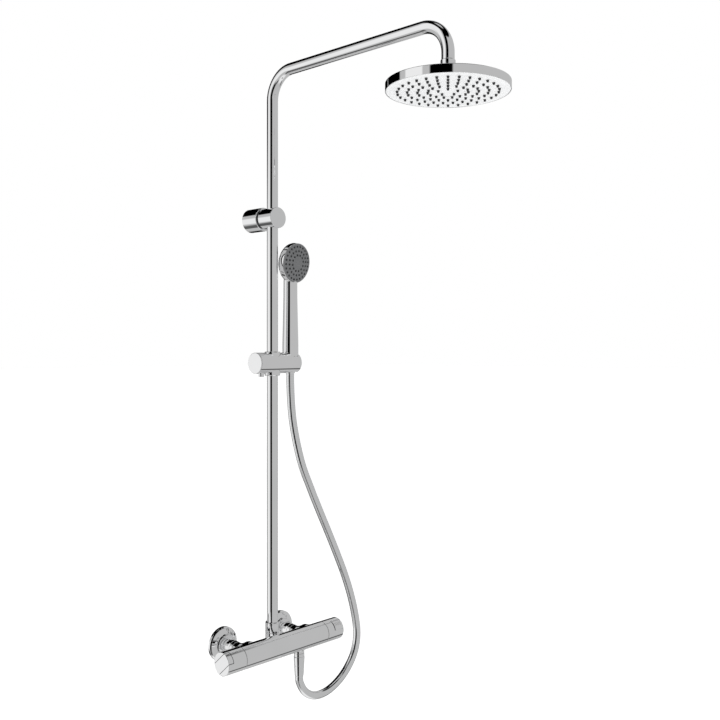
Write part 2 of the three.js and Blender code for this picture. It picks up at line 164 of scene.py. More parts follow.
def pipe_frames(path):
    """A point and two sides across the path at each of its points, without twist."""
    side = None
    for i, point in enumerate(path):
        tangent = (path[min(i + 1, len(path) - 1)] - path[max(i - 1, 0)]).normalized()
        side = tangent.orthogonal() if side is None else side - tangent * side.dot(tangent)
        side = side.normalized()
        yield point, side, tangent.cross(side)


def pipe(name, path, radius, segments=ROUND):
    """A round pipe along a path in metres, closed at both ends; its UVs run round it and along its length."""
    points, normals, faces, places = [], [], [], []
    travelled = 0
    for i, (point, side, other) in enumerate(pipe_frames(path)):
        travelled += (point - path[i - 1]).length / MM if i else 0
        for k in range(segments):
            angle = 2 * math.pi * k / segments
            spoke = side * math.cos(angle) + other * math.sin(angle)
            points.append(point + spoke * radius * MM)
            normals.append(spoke)
            places.append(travelled)
    for i in range(len(path) - 1):
        for k in range(segments):
            n = (k + 1) % segments
            low, high = i * segments, (i + 1) * segments
            faces.append((low + k, low + n, high + n, high + k))
    last = (len(path) - 1) * segments
    faces.append(tuple(reversed(range(segments))))
    faces.append(tuple(last + k for k in range(segments)))
    mesh = mesh_of(name, points, faces, normals)
    grid = mesh.uv_layers.new(name="along")
    for loop, entry in zip(mesh.loops, grid.data):
        entry.uv = ((loop.vertex_index % segments) / segments, places[loop.vertex_index] / 100)
    return linked(name, mesh)


def box_mesh(name, low, high, turn=None):
    """A box, in metres, turned by a matrix where one is given."""
    made = bmesh.new()
    bmesh.ops.create_cube(made, size=1)
    size, middle = high - low, (low + high) / 2
    for v in made.verts:
        v.co = Vector((v.co.x * size.x, v.co.y * size.y, v.co.z * size.z)) + middle
    if turn:
        bmesh.ops.transform(made, matrix=turn, verts=made.verts)
    mesh = bpy.data.meshes.new(name)
    made.to_mesh(mesh)
    made.free()
    return mesh


def evaluated(piece):
    return bpy.data.meshes.new_from_object(piece.evaluated_get(bpy.context.evaluated_depsgraph_get()))


def nearest_face(trees, point):
    found = [(*tree.find_nearest(point)[1:], mesh) for tree, mesh in trees]
    _, index, _, mesh = min(found, key=lambda hit: hit[2])
    return mesh, mesh.polygons[index]


def carry_normals(mesh, sources):
    """Gives each corner of a cut mesh the normal that the uncut surfaces have there."""
    trees = [
        (BVHTree.FromPolygons([v.co for v in m.vertices], [tuple(f.vertices) for f in m.polygons]), m)
        for m in sources
    ]
    normals = [None] * len(mesh.loops)
    for face in mesh.polygons:
        source, hit = nearest_face(trees, face.center)
        corners = [source.vertices[v].co for v in hit.vertices]
        shades = [source.corner_normals[n].vector for n in hit.loop_indices]
        for n in face.loop_indices:
            place = mesh.vertices[mesh.loops[n].vertex_index].co
            weights = poly_3d_calc(corners, place)
            normal = sum((shade * w for shade, w in zip(shades, weights)), Vector()).normalized()
            normals[n] = -normal if normal.dot(face.normal) < 0 else normal
            if normal.length < 0.5 or abs(normal.dot(face.normal)) < 0.8:
                normals[n] = face.normal.copy()
    mesh.polygons.foreach_set("use_smooth", [True] * len(mesh.polygons))
    mesh.normals_split_custom_set(normals)


def carve(piece, *tools, keep=False):
    """Cuts the tools out of a piece, or with keep=True keeps what lies inside them."""
    for mesh in tools:
        tool = linked("tool", mesh)
        cutting = piece.modifiers.new("cut", "BOOLEAN")
        cutting.operation = "INTERSECT" if keep else "DIFFERENCE"
        cutting.solver = "EXACT"
        cutting.object = tool
        result = evaluated(piece)
        piece.modifiers.clear()
        carry_normals(result, (piece.data, mesh))
        piece.data = result
        bpy.data.objects.remove(tool)
    return piece


def joined(name, pieces):
    """Several meshes as one piece; custom normals are kept."""
    with bpy.context.temp_override(
        active_object=pieces[0], object=pieces[0],
        selected_objects=pieces, selected_editable_objects=pieces,
    ):
        bpy.ops.object.join()
    pieces[0].name = name
    return pieces[0]


def thread(radius, depth, pitch, low, high):
    """The zigzag of a thread's flanks between two heights."""
    turns = int((high - low) / pitch)
    flanks = []
    for i in range(turns):
        flanks.append((radius - depth, low + i * pitch, 0.08))
        flanks.append((radius, low + (i + 0.5) * pitch, 0.12))
    return flanks


# ------------------------------------------------------------------ materials
class Nodes:
    """Small helper round a material's node tree."""

    def __init__(self, material):
        self.tree = material.node_tree
        self.shader = self.tree.nodes["Principled BSDF"]
        self.place = self.add("ShaderNodeTexCoord").outputs["Object"]

    def add(self, kind, **values):
        node = self.tree.nodes.new(kind)
        for key, value in values.items():
            setattr(node, key, value)
        return node

    def link(self, source, target):
        self.tree.links.new(source, target)

    def noise(self, scale, detail=3):
        node = self.add("ShaderNodeTexNoise")
        node.inputs["Scale"].default_value = scale
        node.inputs["Detail"].default_value = detail
        self.link(self.place, node.inputs["Vector"])
        return node.outputs["Fac"]

    def ranged(self, source, low, high, start=0.3, end=0.7):
        node = self.add("ShaderNodeMapRange")
        node.inputs["From Min"].default_value = start
        node.inputs["From Max"].default_value = end
        node.inputs["To Min"].default_value = low
        node.inputs["To Max"].default_value = high
        self.link(source, node.inputs["Value"])
        return node.outputs["Result"]

    def coloured(self, source, first, second):
        ramp = self.add("ShaderNodeValToRGB")
        ramp.color_ramp.elements[0].position = 0.3
        ramp.color_ramp.elements[0].color = (*first, 1)
        ramp.color_ramp.elements[1].position = 0.7
        ramp.color_ramp.elements[1].color = (*second, 1)
        self.link(source, ramp.inputs["Fac"])
        self.link(ramp.outputs["Color"], self.shader.inputs["Base Color"])

    def bumped(self, source, strength, distance):
        node = self.add("ShaderNodeBump")
        node.inputs["Strength"].default_value = strength
        node.inputs["Distance"].default_value = distance
        self.link(source, node.inputs["Height"])
        self.link(node.outputs["Normal"], self.shader.inputs["Normal"])


def material(name, **constants):
    made = bpy.data.materials.new(name)
    made.use_nodes = True
    nodes = Nodes(made)
    for socket, value in constants.items():
        nodes.shader.inputs[socket.replace("_", " ")].default_value = value
    return made, nodes


def polished_chrome():
    made, nodes = material("polished_chrome", Metallic=1)
    nodes.coloured(nodes.noise(9), (0.93, 0.935, 0.94), (0.97, 0.97, 0.975))
    nodes.link(nodes.ranged(nodes.noise(70, 5), 0.008, 0.022), nodes.shader.inputs["Roughness"])
    nodes.bumped(nodes.noise(60, 1), 0.004, 0.0002)
    return made


def turned_metal(name, first, second, roughness):
    made, nodes = material(name, Metallic=1, Anisotropic=0.4)
    nodes.coloured(nodes.noise(260, 4), first, second)
    gloss = nodes.ranged(nodes.noise(900, 3), roughness, roughness + 0.14)
    nodes.link(gloss, nodes.shader.inputs["Roughness"])
    nodes.bumped(nodes.noise(1400, 2), 0.12, 0.0002)
    return made


def hose_silver():
    """Smooth silver hose skin, with its winding faintly showing."""
    made, nodes = material("silver_hose", Metallic=1)
    along = nodes.add("ShaderNodeUVMap", uv_map="along").outputs["UV"]
    winding = nodes.add("ShaderNodeTexWave", wave_type="BANDS", bands_direction="Y")
    winding.inputs["Scale"].default_value = 9
    winding.inputs["Distortion"].default_value = 0
    nodes.link(along, winding.inputs["Vector"])
    nodes.coloured(winding.outputs["Fac"], (0.9, 0.905, 0.91), (0.95, 0.955, 0.96))
    nodes.link(nodes.ranged(nodes.noise(120), 0.015, 0.035), nodes.shader.inputs["Roughness"])
    nodes.bumped(winding.outputs["Fac"], 0.006, 0.0001)
    return made


def moulded(name, first, second, roughness, grain=700, depth=0.08, **constants):
    made, nodes = material(name, **constants)
    nodes.coloured(nodes.noise(40, 4), first, second)
    gloss = nodes.ranged(nodes.noise(300), roughness - 0.05, roughness + 0.06)
    nodes.link(gloss, nodes.shader.inputs["Roughness"])
    nodes.bumped(nodes.noise(grain, 3), depth, 0.0002)
    return made


CHROME = polished_chrome()
BRASS = turned_metal("turned_brass", (0.56, 0.42, 0.19), (0.66, 0.5, 0.25), 0.26)
STEEL = turned_metal("turned_steel", (0.5, 0.51, 0.52), (0.62, 0.63, 0.64), 0.24)
HOSE = hose_silver()
WHITE = moulded("white_face", (0.66, 0.665, 0.67), (0.69, 0.695, 0.7), 0.4, 500, 0.02)
GREY = moulded("grey_face", (0.1, 0.102, 0.105), (0.115, 0.117, 0.12), 0.42, 650, 0.06)
NYLON = moulded("nylon", (0.62, 0.62, 0.58), (0.7, 0.7, 0.66), 0.5, 500, 0.15)
# Dark rubber of the washers and strainers; also painted shade on the bracket's groove ring and the diverter's
# seam bed.
DARK = moulded("dark_rubber_and_painted_shade", (0.028, 0.029, 0.03), (0.045, 0.046, 0.048), 0.55, 900, 0.2)
NOZZLE = moulded("nozzle_silicone", (0.018, 0.019, 0.02), (0.028, 0.029, 0.03), 0.6, 900, 0.1)


def finish(piece, look, body="column", stands_for=()):
    """Gives a piece its material and its body, and hides the CAD nodes that it stands for."""
    piece.data.materials.clear()
    piece.data.materials.append(look)
    if body:
        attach(piece, body)
    if stands_for:
        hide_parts(*([stands_for] if isinstance(stands_for, str) else stands_for))
    return piece


# ------------------------------------------------------------------ camera
def make_camera():
    """Stands to the left of the column, a little below its middle, and looks level past it."""
    camera = bpy.data.objects.new("camera", bpy.data.cameras.new("camera"))
    bpy.context.scene.collection.objects.link(camera)
    camera.location = (-1.2022, -1.4210, 0.5819)
    looking = Vector((0.7323, 0.68097, 0))
    camera.rotation_euler = looking.to_track_quat("-Z", "Y").to_euler()
    camera.data.sensor_width = 36
    camera.data.lens = 45.38
    camera.data.shift_y = -0.01564
    bpy.context.scene.camera = camera
    return looking


# ------------------------------------------------------------------ hose
HOSE_ROUTE = [
    (0.048, -0.0655, 0.5322), (0.0483, -0.0655, 0.510), (0.0493, -0.066, 0.482), (0.0505, -0.0675, 0.455),
    (0.053, -0.069, 0.430), (0.0595, -0.073, 0.388), (0.0705, -0.0775, 0.343), (0.088, -0.083, 0.297),
    (0.108, -0.088, 0.250), (0.1295, -0.093, 0.202), (0.151, -0.097, 0.154), (0.173, -0.0995, 0.104),
    (0.192, -0.100, 0.054), (0.2045, -0.100, 0.008), (0.2085, -0.100, -0.022), (0.205, -0.100, -0.048),
    (0.1945, -0.100, -0.071), (0.1775, -0.100, -0.091), (0.158, -0.100, -0.106), (0.1365, -0.0995, -0.117),
    (0.1145, -0.099, -0.1232), (0.093, -0.098, -0.1238), (0.074, -0.097, -0.118), (0.0585, -0.096, -0.1065),
    (0.0485, -0.0953, -0.091), (0.045, -0.095, -0.080), (0.045, -0.095, -0.0723),
]


def smooth_route(points, steps):
    """A centripetal curve through the points, with the ends carried straight on."""
    points = [Vector(p) for p in points]
    points = [2 * points[0] - points[1], *points, 2 * points[-1] - points[-2]]
    route = []
    for i in range(1, len(points) - 2):
        a, b, c, d = points[i - 1 : i + 3]
        gaps = [max((q - p).length, 1e-6) ** 0.5 for p, q in ((a, b), (b, c), (c, d))]
        t0, t1 = 0, gaps[0]
        t2 = t1 + gaps[1]
        t3 = t2 + gaps[2]
        for k in range(steps):
            t = t1 + (t2 - t1) * k / steps
            first = (a * (t1 - t) + b * (t - t0)) / (t1 - t0)
            second = (b * (t2 - t) + c * (t - t1)) / (t2 - t1)
            third = (c * (t3 - t) + d * (t - t2)) / (t3 - t2)
            early = (first * (t2 - t) + second * (t - t0)) / (t2 - t0)
            late = (second * (t3 - t) + third * (t - t1)) / (t3 - t1)
            route.append((early * (t2 - t) + late * (t - t1)) / (t2 - t1))
    return route + [points[-2]]


def make_hose():
    """The free hose. Its upper end runs on into the hollow nut, and still fills it when the nut is lifted."""
    diameter = 0.016
    inside_nut = 0.0148
    route = smooth_route(HOSE_ROUTE, 8)
    route.insert(0, route[0] + UP * inside_nut)
    hose = pipe("shower_hose_skin", route, diameter / 2 / MM, 48)
    length = sum((b - a).length for a, b in zip(route, route[1:]))
    foot, top = Vector(HOSE_ROUTE[-1]), Vector(HOSE_ROUTE[3])
    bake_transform(hose)
    finish(hose, HOSE, None, "shower_hose")
    tuple(route[-1])
    [tuple(p) for p in route]


# ------------------------------------------------------------------ riser, arm and bracket
BEND = 0.054


def arc(middle, first, second, steps=28):
    """Points of a quarter circle from middle + first to middle + second."""
    angles = [math.pi / 2 * k / steps for k in range(steps + 1)]
    return [middle + first * math.cos(a) + second * math.sin(a) for a in angles]


def make_riser():
    width, _, length = span("riser_pipe")
    wall = 1.2
    outline = [(width / 2 - wall, 0), (width / 2, 0), (width / 2, length), (width / 2 - wall, length)]
    riser = turned("riser_tube", outline, start("riser_pipe", UP), closed=True)
    finish(riser, CHROME, "column", "riser_pipe")

    low, high = map(Vector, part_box("arm_pipe"))
    foot = start("riser_pipe", -UP)
    arm_mouth = 0.2128  # height of the arm's open end above its foot in the bracket
    radius = width / 2 * MM
    top = high.z - radius
    end = low.y + radius
    first = Vector((foot.x, foot.y - BEND, top - BEND))
    second = Vector((foot.x, end + BEND, top - BEND))
    path = [Vector((foot.x, foot.y, low.z)), *arc(first, Vector((0, BEND, 0)), UP * BEND)]
    path += [*arc(second, UP * BEND, Vector((0, -BEND, 0))), Vector((foot.x, end, low.z + arm_mouth))]
    finish(pipe("arm_tube", path, width / 2), CHROME, "column", "arm_pipe")

    width, _, length = span("riser_union_nut")
    radius = width / 2
    outline = [
        (11.4, 0), (radius, 0, 0.5), (radius, 3.2, 0.2), (radius - 0.5, 3.5, 0.1), (radius, 3.8, 0.2),
        (radius, length - 3.4, 0.2), (radius - 0.4, length - 3.1, 0.1), (radius, length - 2.8, 0.2),
        (radius, length - 0.9, 0.5), (radius - 1.1, length, 0.4), (11.4, length),
    ]
    nut = turned("riser_union_collar", outline, start("riser_union_nut", UP), closed=True)
    finish(nut, CHROME, "column", "riser_union_nut")


def hex_prism(name, at, direction, across, low, high):
    outline = [(0, low), (across / math.sqrt(3), low), (across / math.sqrt(3), high), (0, high)]
    return turned_mesh(name, [(*c, 0.01) for c in outline], at, direction, False, 6)


def make_bracket():
    width, length, _ = span("bracket_sleeve")
    radius = width / 2
    outline = [
        (16.8, 0), (radius, 0, 0.3), (radius, length, 1.1), (17.5, length, 0.4), (16.8, length - 1),
    ]
    sleeve = turned("bracket_cover", outline, start("bracket_sleeve", OUT), OUT, closed=True)
    finish(sleeve, CHROME, "column", "bracket_sleeve")

    width, length, _ = span("bracket_body")
    radius = width / 2
    groove = length - 40.5  # the recessed neck between cover and body
    outline = [
        (0, 0), (16.3, 0), (16.3, groove, 0.2), (radius - 3.2, groove + 0.2, 0.2),
        (radius - 3.2, groove + 2.6, 0.2), (radius, groove + 2.9, 0.7), (radius, length, 0.7), (0, length),
    ]
    at = start("bracket_body", OUT)
    body = turned("bracket_barrel", outline, at, OUT)
    riser = start("riser_pipe", UP)
    foot = Vector((riser.x, riser.y, at.z - 0.028))
    hole = turned_mesh("hole", [(0, 0), (4, 0), (4, 20), (0, 20)], foot, UP, False, SMALL)
    finish(carve(body, hole), CHROME, "column", "bracket_body")
    # Painted shade: a dark ring in the recessed neck stands for the shadow in the groove between cover and
    # body.
    ring = turned("bracket_gap_painted_shade", [(17.4, 0.3), (18.4, 0.3, 0.5), (18.4, 2.4, 0.5), (17.4, 2.4)],
                  Vector((at.x, at.y - groove * MM, at.z)), OUT, closed=True)
    finish(ring, DARK, "column")

    at = start("bracket_grub_screw", UP)
    _, _, length = span("bracket_grub_screw")
    screw = turned("bracket_set_screw", [(0, 0), (3.7, 0, 0.5), (3.7, length, 0.3), (0, length)], at,
                   segments=SMALL)
    carve(screw, hex_prism("socket", at, UP, 3, -1, 3.2))
    finish(screw, STEEL, "column", "bracket_grub_screw")

    width, length, _ = span("bracket_wall_plate")
    outline = [(2.9, 0), (width / 2, 0, 0.4), (width / 2, length, 0.6), (2.9, length)]
    plate = turned("bracket_fixing_plate", outline, start("bracket_wall_plate", OUT), OUT, closed=True)
    finish(plate, NYLON, "column", "bracket_wall_plate")
    _, length, _ = span("bracket_wall_screw")
    shank = thread(2.5, 0.75, 2, 8, length - 8)
    outline = [(0, 0), (0.7, 1.5), (1.6, 7), *shank, (2.3, length - 3.4), (4.8, length - 3.3, 0.3),
               (4.8, length - 1, 0.6), (3.2, length, 0.6), (0, length)]
    at = start("bracket_wall_screw", OUT)
    screw = turned("bracket_fixing_screw", outline, at, OUT, segments=SMALL)
    for turn in (0, math.pi / 2):
        slot = Matrix.Translation(at) @ Matrix.Rotation(turn, 4, "Y") @ Matrix.Translation(-at)
        low = at + Vector((-0.0026, -(length + 1) * MM, -0.0006))
        high = at + Vector((0.0026, -(length - 1.6) * MM, 0.0006))
        carve(screw, box_mesh("slot", low, high, slot))
    finish(screw, STEEL, "column", "bracket_wall_screw")


# ------------------------------------------------------------------ inlets and valve
def make_inlet(side):
    node = side + "_wall_flange"
    width, length, _ = span(node)
    radius = width / 2
    outline = [
        (radius - 1.7, 0), (radius, 0, 0.3), (radius, 5.2, 1.4), (radius - 2.2, 8, 1.2),
        (26, 10.4, 10), (20.6, 11.8, 1.0), (20.5, length, 1.1), (10.9, length, 0.5), (10.9, length - 2.4),
        (18, length - 2.4, 0.8), (18, 9.2, 0.8), (radius - 1.7, 4.4, 0.8),
    ]
    flange = turned(side + "_rosette", outline, start(node, OUT), OUT, closed=True)
    finish(flange, CHROME, "column", node)

    node = side + "_inlet_union"
    width, length, _ = span(node)
    tail = thread(10.2, 0.9, 1.8, 0.6, 13.2)
    outline = [
        (7.6, 0), *tail, (10.2, 14.4, 0.4), (10.2, length - 5), (width / 2, length - 5),
        (width / 2, length), (7.6, length),
    ]
    union = turned(side + "_union_tail", outline, start(node, OUT), OUT, closed=True)
    finish(union, BRASS, "column", node)
    sleeve = turned(side + "_union_sleeve", [(10.25, 15), (10.45, 15), (10.45, 43), (10.25, 43)],
                    start(node, OUT), OUT, closed=True)
    finish(sleeve, CHROME, "column")

    node = side + "_inlet_nut"
    width, length, _ = span(node)
    radius = width / 2
    outline = [
        (10.6, 0), (radius - 0.9, 0, 0.5), (radius, 1.2, 0.6), (radius, 9, 1.5), (radius - 0.5, 12.4, 0.1),
        (radius - 0.95, 12.7, 0.1), (radius - 0.7, 13, 0.1), (12.9, length, 0.4), (12.5, length, 0.1),
        (12.5, 2.8), (10.6, 2.8),
    ]
    nut = turned(side + "_swivel_nut", outline, start(node, OUT), OUT, closed=True)
    finish(nut, CHROME, "column", node)


def valve_axis():
    """The middle of the bar's axis."""
    handle, union = centre("temperature_handle"), centre("riser_union_nut")
    return Vector((union.x, handle.y, handle.z))


def make_valve():
    axis = valve_axis()
    length = span("valve_body").x
    radius = 22
    outline = [(16, 0), (radius, 0, 0.45), (radius, length, 0.45), (16, length)]
    bar = turned("valve_bar", outline, axis - RIGHT * length / 2 * MM, RIGHT, closed=True, segments=128)
    parts = [bar]
    for side in ("left", "right"):
        at = start(side + "_inlet_strainer", -OUT)
        reach = (at.y - axis.y) / MM
        boss = [
            (7, 0), (12.2, 0, 0.4), (12.2, reach - 42, 6), (13.2, reach - 35, 12), (16.5, reach - 26, 12),
            (20.5, reach - 19, 6), (21.5, reach - 8), (7, reach - 8),
        ]
        parts.append(turned("boss", boss, at, OUT, closed=True))
    union = start("riser_union_nut", UP)
    foot = Vector((union.x, union.y, axis.z - 0.014))
    height = (union.z - foot.z) / MM - 0.3
    column_boss = [(0, 0), (14, 0, 2.5), (14, height, 0.5), (7.5, height), (7.5, height - 6), (0, height - 6)]
    parts.append(turned("boss", column_boss, foot))
    outlet = centre("hose_outlet_nipple")
    outlet_boss = [(0, -26), (10.3, -26, 0.5), (10.3, -20.5, 1.2), (13.5, -17, 2), (13.5, -8), (0, -8)]
    parts.append(turned("boss", outlet_boss, Vector((outlet.x, outlet.y, axis.z))))
    finish(joined("valve_casting", parts), CHROME, "column", "valve_body")

    low = Vector((union.x - 0.014, axis.y, axis.z - 0.014))
    high = Vector((union.x + 0.014, union.y, axis.z + 0.0125))
    bridge = linked("valve_bridge", box_mesh("valve_bridge", low, high))
    soften = bridge.modifiers.new("soften", "BEVEL")
    soften.width = 0.0025
    soften.segments = 5
    soften.harden_normals = True
    bridge.data = evaluated(bridge)
    bridge.modifiers.clear()
    finish(bridge, CHROME, "column")


GRIP_ANGLE = math.radians(41)


def grip_box(at, x0, x1, width, low, high):
    """A box that leans outward and up with the grips, in millimetres from the bar's end axis."""
    corners = Vector((x0, -high, -width / 2)) * MM, Vector((x1, -low, width / 2)) * MM
    turn = Matrix.Translation(at) @ Matrix.Rotation(-GRIP_ANGLE, 4, "X")
    return box_mesh("grip", *corners, turn)


def handle_cup(name, at, direction, length, radius):
    seam = 0.4
    outline = [
        (7.6, 8), (radius - 2.6, 8), (radius - 2.6, seam, 0.2), (radius, seam, 0.3), (radius, length, 0.9),
        (0, length),
    ]
    return turned(name, outline, at, direction, segments=128)


def make_temperature_handle():
    length, _, height = span("temperature_handle")
    radius = height / 2
    at = start("temperature_handle", RIGHT)
    low, high = map(Vector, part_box("temperature_stop_button"))
    gap = 0.6
    window = (low.x / MM - gap, high.x / MM + gap)
    axis = Vector((0, at.y, at.z))
    handle = handle_cup("temperature_knob", at, RIGHT, length, radius)
    grip = 22.4  # width of the raised button across the handle
    beyond = 30  # past the handle's skin
    carve(handle, grip_box(axis, *window, grip + 2 * gap, 18, beyond))
    finish(handle, CHROME, "temperature_control", "temperature_handle")

    wide = high.x / MM - low.x / MM
    outline = [(17.5, 0), (radius + 1.4, 0, 0.6), (radius + 1.4, wide, 0.6), (17.5, wide)]
    button = turned("temperature_button", outline, Vector((low.x, at.y, at.z)), RIGHT, closed=True,
                    segments=192)
    carve(button, grip_box(axis, low.x / MM - 1, high.x / MM + 1, grip, 8, beyond), keep=True)
    grooves, groove_width = 5, 0.7
    for i in range(grooves):
        x = low.x / MM + wide * (i + 1) / (grooves + 1)
        groove = grip_box(axis, x - groove_width / 2, x + groove_width / 2, grip - 8, radius + 0.95, beyond)
        carve(button, groove)
    finish(button, CHROME, "stop_button", "temperature_stop_button")
    finish_node("thermostat_spindle", BRASS)


def make_diverter_handle():
    length, _, height = span("diverter_handle")
    radius = height / 2
    at = start("diverter_handle", -RIGHT)
    axis = Vector((0, at.y, at.z))
    end = at.x / MM - length
    wrap = span("diverter_grip_band").x
    gap = 1.0  # of the seam round the band
    skin = 3.0  # thickness of the handle's cup where the band is let in
    grip = 21.2  # width of the band
    reach = 30  # past the handle on both sides
    handle = handle_cup("diverter_knob", at, -RIGHT, length, radius)
    room = linked("room", grip_box(axis, end - 1, end + wrap + gap, grip + 2 * gap, -reach, reach))
    core = [(0, -1), (radius - skin, -1), (radius - skin, length - skin, 0.1), (0, length - skin)]
    carve(room, turned_mesh("core", core, at, -RIGHT, False, 128))
    carve(handle, room.data)
    bpy.data.objects.remove(room)
    finish(handle, CHROME, "diverter_control", "diverter_handle")

    blank = [(0, length - wrap), (radius, length - wrap, 0.3), (radius, length, 0.9), (0, length)]
    band = turned("diverter_band", blank, at, -RIGHT, segments=128)
    carve(band, grip_box(axis, end - 1, end + wrap + 1, grip, -reach, reach), keep=True)
    finish(band, CHROME, "diverter_control", "diverter_grip_band")
    # Painted shade: a dark bed under the seam round the band stands for the shadow in the gap.
    sunk = 0.6  # depth of the dark bed in the seam
    foot = length - wrap - gap
    outline = [(0, foot), (radius - sunk, foot), (radius - sunk, length - sunk), (0, length - sunk)]
    seam_shade = turned("diverter_seam_painted_shade", outline, at, -RIGHT)
    room = grip_box(axis, end - 1, end + wrap + gap - 0.1, grip + 1.8 * gap, -reach, reach)
    carve(seam_shade, room, keep=True)
    finish(seam_shade, DARK, "diverter_control")
    finish_node("diverter_spindle", BRASS)


# ------------------------------------------------------------------ hose ends
def make_hose_ends():
    at = centre("hose_outlet_nipple")
    top = start("hose_outlet_nipple", -UP)
    outline = [
        (6.4, -19.6), (8.4, -19.6), (8.4, -6.8), (10.5, -6.4, 0.5), (10.5, -3.4, 0.15), (10.1, -3.15, 0.1),
        (10.5, -2.9, 0.15), (10.5, 0, 0.4), (6.4, 0),
    ]
    ring = turned("outlet_ring", outline, Vector((at.x, at.y, top.z)), closed=True)
    finish(ring, CHROME, "column", "hose_outlet_nipple")

    length = span("lower_hose_nut").z
    outline = [
        (8.1, 0), (8.6, 0, 0.25), (8.9, 1.2, 0.3), (9.9, length - 18, 0.2), (9.65, length - 17.6, 0.1),
        (9.95, length - 17.2, 0.2), (11, length - 1.4, 0.9), (10.2, length, 0.4), (8.8, length),
        (8.8, 20.5), (8.1, 20),
    ]
    nut = turned("lower_cone_nut", outline, start("lower_hose_nut", UP), closed=True)
    finish(nut, CHROME, "column", "lower_hose_nut")

    length = span("upper_hose_nut").z
    seat = length - 17.8
    outline = [
        (8.2, 0), (9.3, 0, 0.3), (12, seat, 0.4), (9, seat), (9, length), (5.5, length), (5.5, 17), (8.2, 17),
    ]
    nut = turned("upper_cone_nut", outline, start("upper_hose_nut", UP), closed=True)
    finish(nut, CHROME, "hose_nut", "upper_hose_nut")


# ------------------------------------------------------------------ slider and handset
def make_slider():
    axis = centre("slider_body")
    length, _, height = span("slider_body")
    at = start("slider_body", RIGHT)
    radius = height / 2
    riser, socket = centre("slider_bush"), centre("upper_hose_nut")
    outline = [(0, 0), (radius, 0, 0.3), (radius, length, 1.3), (0, length)]
    body = turned("slider_barrel", outline, at, RIGHT, segments=128)
    foot = axis.z - 0.03
    bush = turned_mesh("bush", [(0, 0), (15.7, 0), (15.7, 60), (0, 60)], Vector((riser.x, riser.y, foot)),
                       UP, False, ROUND)
    cone = turned_mesh("cone", [(0, 0), (9.9, 0), (12.4, 42.2), (16.5, 42.2), (16.5, 60), (0, 60)],
                       Vector((socket.x, riser.y, foot)), UP, False, ROUND)
    slot = box_mesh("slot", Vector((socket.x, riser.y - 0.0086, foot)),
                    Vector((socket.x + 0.03, riser.y + 0.0086, foot + 0.06)))
    pin = centre("slider_lock_pin")
    well = turned_mesh("well", [(0, 0), (5.6, 0), (5.6, 35.3), (0, 35.3)], Vector((pin.x, pin.y, foot)),
                       UP, False, SMALL)
    carve(body, bush, cone, slot, well)
    finish(body, CHROME, "slider", "slider_body")

    cap = [(0, -2), (4.5, -2), (4.5, 4), (radius, 4, 0.2), (radius, 6, 0.7), (0, 6)]
    cap = turned("slider_left_cap", cap, start("slider_end_cap", -RIGHT), -RIGHT, segments=128)
    finish(cap, CHROME, "slider", "slider_end_cap")

    width, _, length = span("slider_bush")
    outline = [
        (11.25, 0), (width / 2 - 1, 0, 0.4), (width / 2, 1.1, 0.4), (width / 2, length - 1.1, 0.4),
        (width / 2 - 1, length, 0.4), (11.25, length),
    ]
    bush = turned("slider_guide_ring", outline, start("slider_bush", UP), closed=True)
    finish(bush, CHROME, "slider", "slider_bush")

    width, _, length = span("slider_lock_pin")
    radius = width / 2
    outline = [
        (0, 0), (radius - 0.5, 0, 0.8), (radius, 1.4, 0.4), (radius, 3.6, 0.2), (radius - 0.5, 3.9, 0.1),
        (radius, 4.2, 0.2), (radius, length, 0.3), (0, length),
    ]
    pin = turned("slider_release_pin", outline, start("slider_lock_pin", UP), segments=64)
    finish(pin, CHROME, "lock_pin", "slider_lock_pin")
    finish_node("slider_brake_pad", NYLON)


HEAD_TURN = math.radians(6)
HEAD_NOD = math.radians(8)


